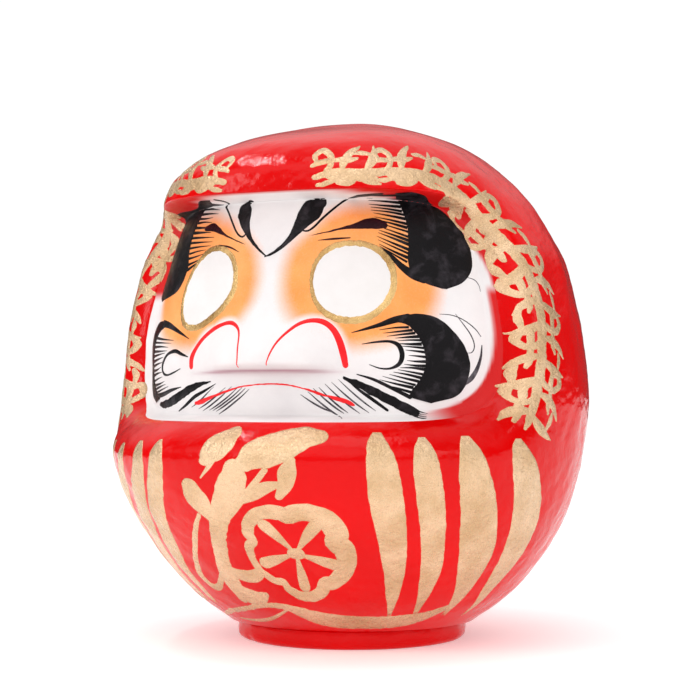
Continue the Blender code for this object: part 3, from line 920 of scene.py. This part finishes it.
# Beards
black.stroke([(53, 201.4, 0.4), (61, 203.6, 1.6), (70, 206.2, 2.8), (79, 209.2, 4.2), (88, 211, 4.6)])
black.patch(
    [(80, 208.2), (88, 205.8), (94, 199.5), (98.4, 190), (98.8, 180), (95, 172), (90, 166), (88, 162)],
    [(81, 210.6), (94, 213.2), (108, 210.6), (119.5, 201.5), (127.3, 190), (129, 177), (121.5, 163.4),
     (103, 158.2)],
    rough=0.15,
)
black.hairs(
    [(69, 203.6), (73, 200.2), (79, 197), (85, 192.2), (86, 187), (85, 182), (79, 178), (73, 175.2),
     (70, 172.6), (71, 168.5)],
    [(88, 206), (92, 201.5), (96, 196.5), (98.6, 190.5), (99.4, 184.5), (98.8, 178.5), (95.6, 173),
     (92, 169), (90, 166), (89, 163.5)],
    18, 2.0,
)
black.stroke([
    (59, 194.4, 0.4), (68, 195.7, 1.4), (76, 196, 1.8), (81.4, 193.6, 3.0), (83.6, 188, 3.4),
    (82, 182.6, 2.8), (76.5, 179.6, 1.5), (70, 179.6, 1.0), (63.4, 181.9, 0.4),
])
black.stroke([
    (-64, 199.2, 0.4), (-72, 202.6, 1.8), (-81, 206, 3.0), (-91, 208.8, 4.2), (-102, 210.4, 5.0),
])
black.patch(
    [(-98, 212), (-112, 211.6), (-124, 205), (-132, 193), (-134, 178), (-128, 164), (-113, 157.8)],
    [(-97, 208), (-108, 204.4), (-116, 197.6), (-120, 188), (-120, 178), (-115, 168), (-104, 160.5)],
    rough=0.15,
)
black.hairs(
    [(-79, 199.6), (-84, 196.2), (-88, 193), (-93, 190.6), (-96, 187.6), (-99, 183.6), (-100, 180),
     (-98, 176.4), (-96, 173.4), (-92, 170.6), (-86, 168)],
    [(-112, 202), (-115, 198), (-118, 193.6), (-120, 189.6), (-121, 185.6), (-121, 181.4),
     (-120.6, 177.4), (-119, 173.4), (-117, 170), (-114, 166.6), (-110, 163.6)],
    13, 2.1,
)
black.stroke([(-72, 168.4, 0.4), (-85, 166.2, 2.4), (-98, 163.6, 3.2), (-110, 162.6, 3.2)])
black.stroke([
    (-64, 187.6, 0.5), (-71, 189.6, 2.2), (-78, 191.6, 2.7), (-87, 190, 2.1), (-94, 186.4, 2.6),
    (-98, 182, 3.2), (-96.6, 177.8, 2.5), (-90, 176.2, 1.3), (-81, 177.6, 1.2), (-72, 180.2, 0.5),
])
# Whiskers beside the mouth
black.stroke([
    (48.4, 174, 1.2), (56, 170.4, 4.2), (66, 165.2, 5.6), (77, 159.8, 6.0), (87, 155, 6.4),
    (93, 152.6, 5.4),
], rough=0.3)
for k, end in enumerate((-2.2, -0.8, 0.6, 2.0)):
    black.stroke([(90, 153.6 + end, 1.4), (94, 151.6 + end, 1.0), (98 + k, 150.6 + 0.6 * end, 0.3)],
        round_ends=False)
black.stroke([(56, 176, 0.6), (66, 172.8, 1.8), (78, 167.2, 2.2), (89, 162, 2.6)])
black.stroke([(50.5, 172.2, 0.4), (58, 166, 1.7), (66.5, 159.8, 2.1), (74.6, 154, 1.6)])
black.stroke([
    (-43.4, 171.7, 1.0), (-51, 170.4, 3.2), (-60, 168, 5.2), (-72, 163.4, 6.2), (-85, 158.9, 6.2),
    (-95, 157, 5.4), (-103, 156.8, 3.2),
], rough=0.3)
black.stroke([(-38.6, 170.4, 0.4), (-48, 166, 2.0), (-58, 162, 2.6), (-67, 156.8, 2.2), (-75, 153, 1.0)])
black.finish("face_black", BLACK)

fine = Paint(12, pitch=1.0, crown=0.10, laid=laid_on_face)
WHISKERS = (
    ((45, 173), (67.4, 153.6)), ((41, 171.2), (63.4, 152.4)), ((37, 170.2), (58, 152)),
    ((33.4, 168), (51, 152.4)), ((30, 167.4), (48.6, 152)), ((26.6, 165.4), (47.8, 149)),
    ((22, 163.6), (42, 152.6)), ((-40, 168.6), (-61, 155.4)), ((-30, 168), (-54, 154.4)),
    ((-25, 168.6), (-50, 153.2)), ((-20, 168.2), (-44, 153.6)), ((-17, 168), (-41, 153.4)),
    ((-14.6, 167.6), (-38, 153)), ((-12, 167), (-36, 151.2)),
)
WHISKER_SAG = np.array((0.0, -0.8))
for tip, end in np.array(WHISKERS, float):
    upper = 0.65 * tip + 0.35 * end + WHISKER_SAG
    lower = 0.3 * tip + 0.7 * end + WHISKER_SAG
    fine.stroke([(*tip, 0.25), (*upper, 1.0), (*lower, 1.15), (*end, 0.3)])
fine.stroke([
    (109, 213.2, 0.3), (118, 212.5, 0.6), (126, 209.5, 0.7), (133, 204.5, 0.8), (137, 199.5, 0.5),
])
fine.stroke([
    (120, 213.4, 0.3), (125, 207.5, 0.7), (130, 200.4, 0.9), (132.2, 194, 0.9), (130.6, 189.8, 0.7),
    (127, 189.2, 0.3),
])
fine.stroke([(127, 236.8, 0.3), (133, 235.2, 0.6), (136.8, 231.6, 0.6), (138, 228, 0.4)])
fine.stroke([
    (137.4, 194, 0.8), (136.6, 187, 1.8), (134, 179.6, 2.8), (130, 173.6, 3.4), (124.6, 169.6, 2.4),
])
THIN_BLACK = black_look("thin_black", (0.040, 0.032, 0.040), (0.18, 0.165, 0.18))
fine.finish("face_fine_lines", THIN_BLACK)

lashes = Paint(13, laid=laid_on_face)
lashes.stroke([
    (26, 261.6, 0.3), (36, 263.4, 0.9), (46, 265.5, 1.4), (54, 266.9, 3.2), (62, 268.4, 6.4),
    (68, 268.6, 7.2), (73.4, 267.6, 4.4),
], rough=0.15)
lashes.stroke([(31.4, 258.6, 0.3), (41, 259.3, 1.4), (52, 259.9, 0.8)])
lashes.stroke([
    (-20, 257.6, 0.3), (-29, 261.2, 1.0), (-37, 264.6, 1.8), (-43, 268, 4.0), (-49, 270.4, 5.6),
    (-55.6, 270, 3.6),
], rough=0.15)
lashes.stroke([(-25, 253.2, 0.3), (-33, 256.6, 1.3), (-43, 258.6, 0.6)])
lashes.finish("face_lashes", BROWN)

scarlet = Paint(14, pitch=1.0, laid=laid_on_face)
scarlet.stroke([
    (6, 181.4, 0.5), (8, 188, 1.0), (11.2, 195, 1.4), (16, 201.4, 1.8), (22, 206.8, 2.4), (29, 209, 3.0),
    (36, 208, 3.7), (41.8, 203.6, 4.0), (45.8, 196.4, 4.5), (48.2, 188, 4.5), (49.4, 181.6, 3.8),
])
scarlet.stroke([
    (-13, 180.2, 0.5), (-11.9, 184.4, 0.9), (-12.3, 192, 1.1), (-13.6, 200.8, 1.4), (-17, 205.5, 2.1),
    (-24, 208.3, 2.8), (-32, 207.9, 2.8), (-41, 205, 3.1), (-50, 199.4, 3.0), (-56.5, 193, 3.2),
    (-60.4, 187, 4.2), (-61, 181.6, 4.0),
])
scarlet.stroke([
    (-56.6, 158.1, 2.6), (-50, 159.4, 3.4), (-42, 162, 1.9), (-30, 165.4, 1.6), (-18, 168.4, 1.1),
    (-5, 169.9, 0.95), (5, 170.1, 0.9), (15, 169.3, 0.95), (25, 167, 1.2), (34, 164, 1.9),
    (38, 162.8, 1.1), (42, 161.7, 2.3), (47, 160.3, 2.9), (52, 158.4, 2.8), (54.2, 157.2, 1.6),
], rough=0.15)
scarlet.finish("face_scarlet", SCARLET)

# ---------------------------------------------------------------- gold brushwork on the lacquer

STRIPES = (
    ([(63, 141), (59.8, 134), (59.4, 120), (61, 100), (64.2, 85), (68, 70), (72, 56), (76, 40), (81, 26)],
     [(67, 141), (70, 134), (73.6, 122), (76.6, 108), (79, 95), (81.6, 80), (84.4, 65), (86, 48),
      (84.4, 27)]),
    ([(84.6, 138), (81.4, 131), (81, 119), (83.4, 105), (86.6, 89), (91, 72), (95, 55), (98.4, 40),
      (102, 27)],
     [(88.4, 138), (91.2, 131), (94.6, 119), (97.8, 105), (101.4, 89), (105, 72), (108, 58), (108.2, 44),
      (106, 27)]),
    ([(107, 138.6), (104, 131), (103.8, 119), (106, 105), (110, 88), (114, 72), (119, 57), (124.6, 43),
      (131, 26)],
     [(111, 138.6), (115.4, 131), (121, 119), (127, 105), (134, 88), (139.6, 72), (141.6, 57),
      (140.6, 43), (136, 26)]),
    ([(138, 136.6), (135.4, 131), (137, 119), (140.6, 104), (145, 87), (148.8, 70), (151, 53),
      (152.6, 38), (157, 24)],
     [(141.6, 136.6), (147.4, 130), (156.6, 119), (165, 104), (170.8, 87), (171.6, 70), (169.4, 53),
      (164, 38), (160, 25)]),
    ([(-44.6, 136), (-41.4, 130), (-40.4, 121), (-44.6, 108), (-51, 95), (-58.4, 80), (-66, 65),
      (-72.4, 50), (-76.6, 30)],
     [(-47, 135.6), (-50, 129), (-52, 121), (-58.6, 109), (-65, 97), (-73.4, 81), (-81.4, 65),
      (-84.4, 50), (-83, 31)]),
    ([(-63, 134.6), (-58.6, 129), (-57.4, 121), (-62.6, 106), (-70.6, 91), (-80, 76), (-87.6, 62),
      (-91.6, 47), (-92.6, 31)],
     [(-66.6, 134.6), (-67.6, 128), (-70, 119), (-79, 106), (-88.6, 94), (-98, 79), (-104.6, 63),
      (-106, 47), (-100.6, 31)]),
    ([(-84.6, 132.6), (-81, 128), (-82.6, 118), (-91, 104), (-100, 88), (-107.6, 71), (-111.6, 54),
      (-111.6, 31)],
     [(-88, 132.6), (-92, 126), (-99.6, 116), (-112, 102), (-121.6, 86), (-127, 70), (-127, 52),
      (-118.6, 32)]),
    ([(-110, 133.6), (-108.6, 128), (-114, 116), (-122, 102), (-129.6, 86), (-134.6, 68), (-136, 48),
      (-133.6, 30)],
     [(-113.6, 133.6), (-119, 127), (-131, 115), (-143, 101), (-151, 85), (-153, 67), (-150, 47),
      (-141, 29)]),
)
stripes = Paint(21, pitch=1.5, lift=0.10, crown=0.14)
for left, right in STRIPES:
    stripes.patch(left, right, rough=0.22)
    low = 0.5 * (np.array(left[-1]) + np.array(right[-1]))
    width = abs(left[-1][0] - right[-1][0])
    lean = np.array(left[-1]) - np.array(left[-2]) + np.array(right[-1]) - np.array(right[-2])
    lean = lean / np.linalg.norm(lean)
    for share in (-0.36, -0.12, 0.14, 0.38):
        start = low + (share * width, 0.8)
        reach = stripes.noise.uniform(2.0, 5.5)
        stripes.stroke(
            [(*start, 0.26 * width), (*(start + 0.5 * reach * lean), 0.16 * width),
             (*(start + reach * lean), 0.3)],
            round_ends=False,
        )
stripes.finish("gold_stripes", GOLD)

sash = Paint(22, pitch=1.4, lift=0.14, crown=0.14)
sash.stroke([
    (-104, 17.0, 1.2), (-88, 19.6, 2.2), (-72, 22.4, 2.8), (-50, 25.2, 2.9), (-30, 28.4, 3.2),
    (-12, 30.8, 3.6), (2, 29.8, 5.2), (12, 26.4, 8.6), (25, 22.6, 10.4), (45, 20.4, 10.0),
    (75, 19.6, 9.2), (100, 20.6, 9.2), (115, 23.2, 7.6), (127, 27.4, 5.6), (135, 32, 2.4),
], rough=0.25)
sash.stroke([
    (3, 28.6, 1.4), (-8, 24.4, 1.9), (-20, 20.8, 2.2), (-36, 18.2, 2.3), (-56, 17.2, 1.6),
    (-70, 17.6, 0.8),
])
sash.finish("gold_sash", GOLD)

# A plum blossom with a sweeping branch, two buds and a tendril
motif = Paint(23, pitch=1.2, lift=0.12, crown=0.16)
CENTRE = np.array((22.0, 67.0))
PETALS = 5
FIRST_NOTCH = math.radians(18.0)
RING_POINTS = 40


def petal_outline(radius, lobes, depth, start):
    """A closed line of lobes round CENTRE."""
    rows = []
    for k in range(RING_POINTS):
        turn = start + 2.0 * math.pi * k / RING_POINTS
        reach = radius * (1.0 - depth + depth * abs(math.sin(0.5 * lobes * (turn - start))) ** 0.7)
        rows.append(CENTRE + reach * np.array((math.cos(turn), math.sin(turn))))
    return rows


ring = petal_outline(29.0, PETALS, 0.17, FIRST_NOTCH)
widths = [8.6 + 3.6 * math.cos(2.0 * math.pi * (k / RING_POINTS - 0.02)) for k in range(RING_POINTS)]
motif.stroke([(*point, width) for point, width in zip(ring, widths)], closed=True, rough=0.25)
for k in range(PETALS):
    turn = FIRST_NOTCH + 2.0 * math.pi * (k + 0.5) / PETALS
    direction = np.array((math.cos(turn), math.sin(turn)))
    places = [CENTRE + reach * direction for reach in (3.0, 9.0, 15.0, 22.0)]
    motif.stroke([(*place, width) for place, width in zip(places, (2.0, 4.0, 6.2, 7.4))])
motif.stroke([(CENTRE[0] - 1.6, CENTRE[1], 7.0), (CENTRE[0] + 1.6, CENTRE[1], 7.2)])
# Branch and twigs
motif.stroke([
    (-34, 35, 8.0), (-33, 45, 15.0), (-30, 58, 11.0), (-24, 72, 10.0), (-15, 88, 11.0), (-7, 102, 14.0),
    (-1, 113, 14.0), (0.5, 121, 9.0),
], rough=0.3)
motif.stroke([(-30, 56, 5.0), (-22, 51, 8.0), (-12, 50.6, 8.4), (-5, 53.6, 7.0)], rough=0.2)
motif.stroke([(-33, 40, 12.0), (-26, 36.4, 13.0), (-17, 35.6, 10.0), (-9, 38.0, 4.0)], rough=0.3)
motif.stroke([(-14, 86, 4.2), (-6, 93, 4.0), (3, 103, 3.6), (11, 113, 3.2), (15, 119, 3.0)])
motif.stroke([(-26, 108, 10.0), (-24.6, 101, 14.0), (-22, 94, 11.0), (-19, 87, 5.0)], rough=0.25)
# Buds at the top
motif.stroke([(-14, 124, 6.0), (-10.6, 129, 13.0), (-7, 135, 15.0), (-3.6, 140, 9.0)], rough=0.25)
motif.stroke([
    (6, 123, 10.0), (12, 128, 18.0), (22, 133.4, 18.0), (32, 138, 13.0), (38.6, 138.4, 8.0),
], rough=0.25)
motif.stroke([(-18, 113.6, 1.0), (-12.6, 120, 2.6), (-9, 126, 4.2)])
motif.stroke([(27, 125, 4.0), (25, 118, 8.6), (23.6, 110, 7.0), (20, 103, 4.0)])
# Leaf on the right of the branch
motif.stroke([(0, 98, 1.0), (7, 103.4, 6.4), (14, 108.4, 7.0), (22, 111, 3.0)])
# Tendril low on the left
motif.stroke([
    (-27, 90, 2.4), (-36, 80, 3.2), (-48, 66, 3.6), (-58, 55, 4.6), (-62.4, 47, 5.8), (-58, 40.6, 5.4),
    (-50, 41.4, 4.2), (-42, 46.6, 3.8), (-36, 51, 3.4),
], rough=0.15)
motif.finish("gold_plum_motif", GOLD)


# Scrolling vine round the face
STEM = [
    (31, 297.0, 4.0), (44, 299.5, 5.4), (60, 299, 5.6), (78, 300.5, 5.6), (96, 299.5, 6.0), (112, 294, 6.2),
    (127, 285, 6.4), (140, 272.5, 6.4), (150, 258, 6.4), (156.5, 243, 6.4), (160, 227, 6.4),
    (160.5, 210, 6.4),
    (159, 193, 6.2), (156.5, 177, 6.0), (153, 162, 5.6), (148, 148.5, 5.0), (145, 143, 3.0),
]
LEAF_PITCH = 12  # steps of about 1 mm along the stem
LEAF = ((0.0, 0.0, 2.6), (3.6, 5.6, 5.2), (6.6, 11.2, 5.6), (8.4, 19.0, 1.4))  # along, outward, width
BLADE = ((-2.0, 1.0, 2.2), (-0.6, 7.0, 5.6), (3.0, 13.6, 4.6), (9.0, 18.6, 1.2))
CURL = ((0.0, 0.0, 3.0), (4.6, 5.0, 4.0), (5.8, 11.4, 4.4), (1.6, 16.4, 4.2), (-4.0, 14.6, 4.0),
    (-3.6, 10.4, 3.2))
BAR = ((-6.6, 7.6, 2.4), (-2.4, 8.6, 4.0), (2.8, 8.4, 3.8), (7.2, 9.8, 2.0))  # crosses the leaves
HIGH_BAR = ((-5.6, 13.6, 2.0), (-1.0, 14.2, 3.6), (5.0, 13.0, 2.2))
INNER_REACH = 0.80  # leaves on the face's side are shorter
BRIM_SHORTENING = 0.50  # and shorter still under the crown


def vine(name, side, seed):
    """A stem with leaves, curls and cross bars; side is 1 for the doll's left and -1 for its right."""
    paint = Paint(seed, pitch=1.3, lift=0.12, crown=0.14)
    paint.stroke([(side * u, z, w) for u, z, w in STEM], rough=0.3)
    line = respaced(through(STEM), 1.0)
    tangent = np.gradient(line[:, :2], axis=0)
    tangent /= np.linalg.norm(tangent, axis=1)[:, None]
    normal = np.stack([-tangent[:, 1], tangent[:, 0]], axis=1)
    for k, at in enumerate(range(6, len(line) - 6, LEAF_PITCH)):
        base, along, outward = line[at, :2], tangent[at], normal[at]
        for towards in (1.0, -1.0):
            size = paint.noise.uniform(0.88, 1.08)
            kind = (k + (towards > 0)) % 3
            for form in ((LEAF, CURL, BLADE)[kind], (HIGH_BAR, BAR, BAR)[kind]):
                inner = INNER_REACH * (1.0 - BRIM_SHORTENING * ease(base[1], 278.0, 292.0))
                reach = size * (inner if towards < 0 else 1.0)
                rows = [base + size * a * along + reach * towards * b * outward for a, b, _ in form]
                paint.stroke([(side * row[0], row[1], size * w) for row, (_, _, w) in zip(rows, form)],
                    rough=0.22)
    paint.finish(name, GOLD)


vine("gold_vine_left", 1.0, 31)
vine("gold_vine_right", -1.0, 32)

# ---------------------------------------------------------------- studio

CAMERA_TURN = math.radians(24.5)
CAMERA_DISTANCE = 1.2
CAMERA_HEIGHT = 0.165
CAMERA_TILT = math.radians(1.38)  # above level
CAMERA_SWING = math.radians(0.075)
SENSOR_WIDTH = 36.0
FOCAL_LENGTH = 90.2057

camera_data = bpy.data.cameras.new("camera")
camera_data.sensor_width = SENSOR_WIDTH
camera_data.lens = FOCAL_LENGTH
camera = bpy.data.objects.new("camera", camera_data)
bpy.context.scene.collection.objects.link(camera)
camera.location = (
    CAMERA_DISTANCE * math.sin(CAMERA_TURN),
    -CAMERA_DISTANCE * math.cos(CAMERA_TURN),
    CAMERA_HEIGHT,
)
camera.rotation_euler = (math.radians(90.0) + CAMERA_TILT, 0.0, CAMERA_TURN + CAMERA_SWING)
bpy.context.scene.camera = camera


def area_light(name, place, target, size, power):
    data = bpy.data.lights.new(name, "AREA")
    data.shape = "RECTANGLE"
    data.size, data.size_y = size
    data.energy = power
    light = bpy.data.objects.new(name, data)
    bpy.context.scene.collection.objects.link(light)
    light.location = place
    light.rotation_euler = (Vector(target) - Vector(place)).to_track_quat("-Z", "Y").to_euler()


FLOOR_RADIUS = 6.0
FLOOR_RINGS = 12
FLOOR_SEGMENTS = 96


def studio_floor():
    """A pale disc of rings that get wider outwards."""
    look = Look("studio_floor", Roughness=0.9, Specular_IOR_Level=0.1, Emission_Strength=0.28)
    look.set(Emission_Color=(1.0, 1.0, 1.0))
    look.tint(look.tone(3.0, low=0.3, high=0.7), (0.93, 0.93, 0.93), (0.95, 0.95, 0.95))
    radius = FLOOR_RADIUS * (np.arange(1, FLOOR_RINGS + 1) / FLOOR_RINGS)[:, None] ** 1.5
    turn = np.linspace(0.0, 2.0 * math.pi, FLOOR_SEGMENTS, endpoint=False)
    points = np.stack([radius * np.cos(turn), radius * np.sin(turn), 0.0 * radius * turn], axis=-1)
    index = 1 + np.arange(FLOOR_RINGS * FLOOR_SEGMENTS).reshape(FLOOR_RINGS, FLOOR_SEGMENTS)
    index = np.pad(index, ((0, 0), (0, 1)), mode="wrap")
    faces = [(0, int(start), int(end)) for start, end in zip(index[0, :-1], index[0, 1:])]
    faces += quads_of(index)[..., [0, 3, 2, 1]].reshape(-1, 4).tolist()
    mesh = bpy.data.meshes.new("studio_floor")
    mesh.from_pydata([(0.0, 0.0, 0.0), *points.reshape(-1, 3).tolist()], [], faces)
    mesh.materials.append(look.material)
    floor = bpy.data.objects.new("studio_floor", mesh)
    bpy.context.scene.collection.objects.link(floor)


studio_floor()
area_light("top_softbox", (0.1, -0.25, 1.4), (0.0, 0.0, 0.2), (0.8, 0.6), 3.0)
area_light("left_softbox", (-1.3, -1.5, 0.8), (0.0, 0.0, 0.17), (0.5, 0.6), 5.6)
area_light("right_softbox", (1.9, -0.3, 0.7), (0.0, 0.0, 0.17), (0.5, 1.0), 4.3)
area_light("strip_light", (-0.52, -0.12, 1.2), (0.0, 0.0, 0.25), (0.42, 0.018), 1.7)


# What gloss sees of the room: products of ramps along an axis of the direction, which are added up
BEHIND_AND_ABOVE = (("Z", 0.22, 0.50, 0.0, 0.68), ("Y", -0.10, 0.35, 0.0, 1.0))
AHEAD_AND_ABOVE = (("Z", 0.30, 0.50, 0.0, 1.50), ("Y", -0.10, -0.40, 0.0, 1.0))
AHEAD = (("Y", -0.15, -0.60, 0.07, 0.42),)
DIFFUSE_LEVEL = 0.87
BACKDROP_LEVEL = 1.04


def studio_world():
    """A pale room. Gloss sees it bright behind and above the object, and dimmer elsewhere."""
    world = bpy.data.worlds.new("studio")
    bpy.context.scene.world = world
    world.use_nodes = True
    tree = world.node_tree
    background = tree.nodes["Background"]
    background.inputs["Color"].default_value = (1.0, 1.0, 1.0, 1.0)
    place = tree.nodes.new("ShaderNodeTexCoord")
    parts = tree.nodes.new("ShaderNodeSeparateXYZ")
    tree.links.new(place.outputs["Generated"], parts.inputs["Vector"])

    def joined(operation, values):
        result = values[0]
        for value in values[1:]:
            step = tree.nodes.new("ShaderNodeMath")
            step.operation = operation
            tree.links.new(result, step.inputs[0])
            tree.links.new(value, step.inputs[1])
            result = step.outputs[0]
        return result

    def ramp(axis, *ends):
        node = tree.nodes.new("ShaderNodeMapRange")
        tree.links.new(parts.outputs[axis], node.inputs["Value"])
        for key, value in zip(("From Min", "From Max", "To Min", "To Max"), ends):
            node.inputs[key].default_value = value
        return node.outputs["Result"]

    terms = []
    for term in (BEHIND_AND_ABOVE, AHEAD_AND_ABOVE, AHEAD):
        terms.append(joined("MULTIPLY", [ramp(*ends) for ends in term]))
    strength = joined("ADD", terms)
    path = tree.nodes.new("ShaderNodeLightPath")
    for kind, level in (("Is Diffuse Ray", DIFFUSE_LEVEL), ("Is Camera Ray", BACKDROP_LEVEL)):
        chosen = tree.nodes.new("ShaderNodeMix")
        tree.links.new(path.outputs[kind], chosen.inputs["Factor"])
        tree.links.new(strength, chosen.inputs["A"])
        chosen.inputs["B"].default_value = level
        strength = chosen.outputs["Result"]
    tree.links.new(strength, background.inputs["Strength"])


studio_world()
bpy.context.scene.view_settings.view_transform = "Standard"
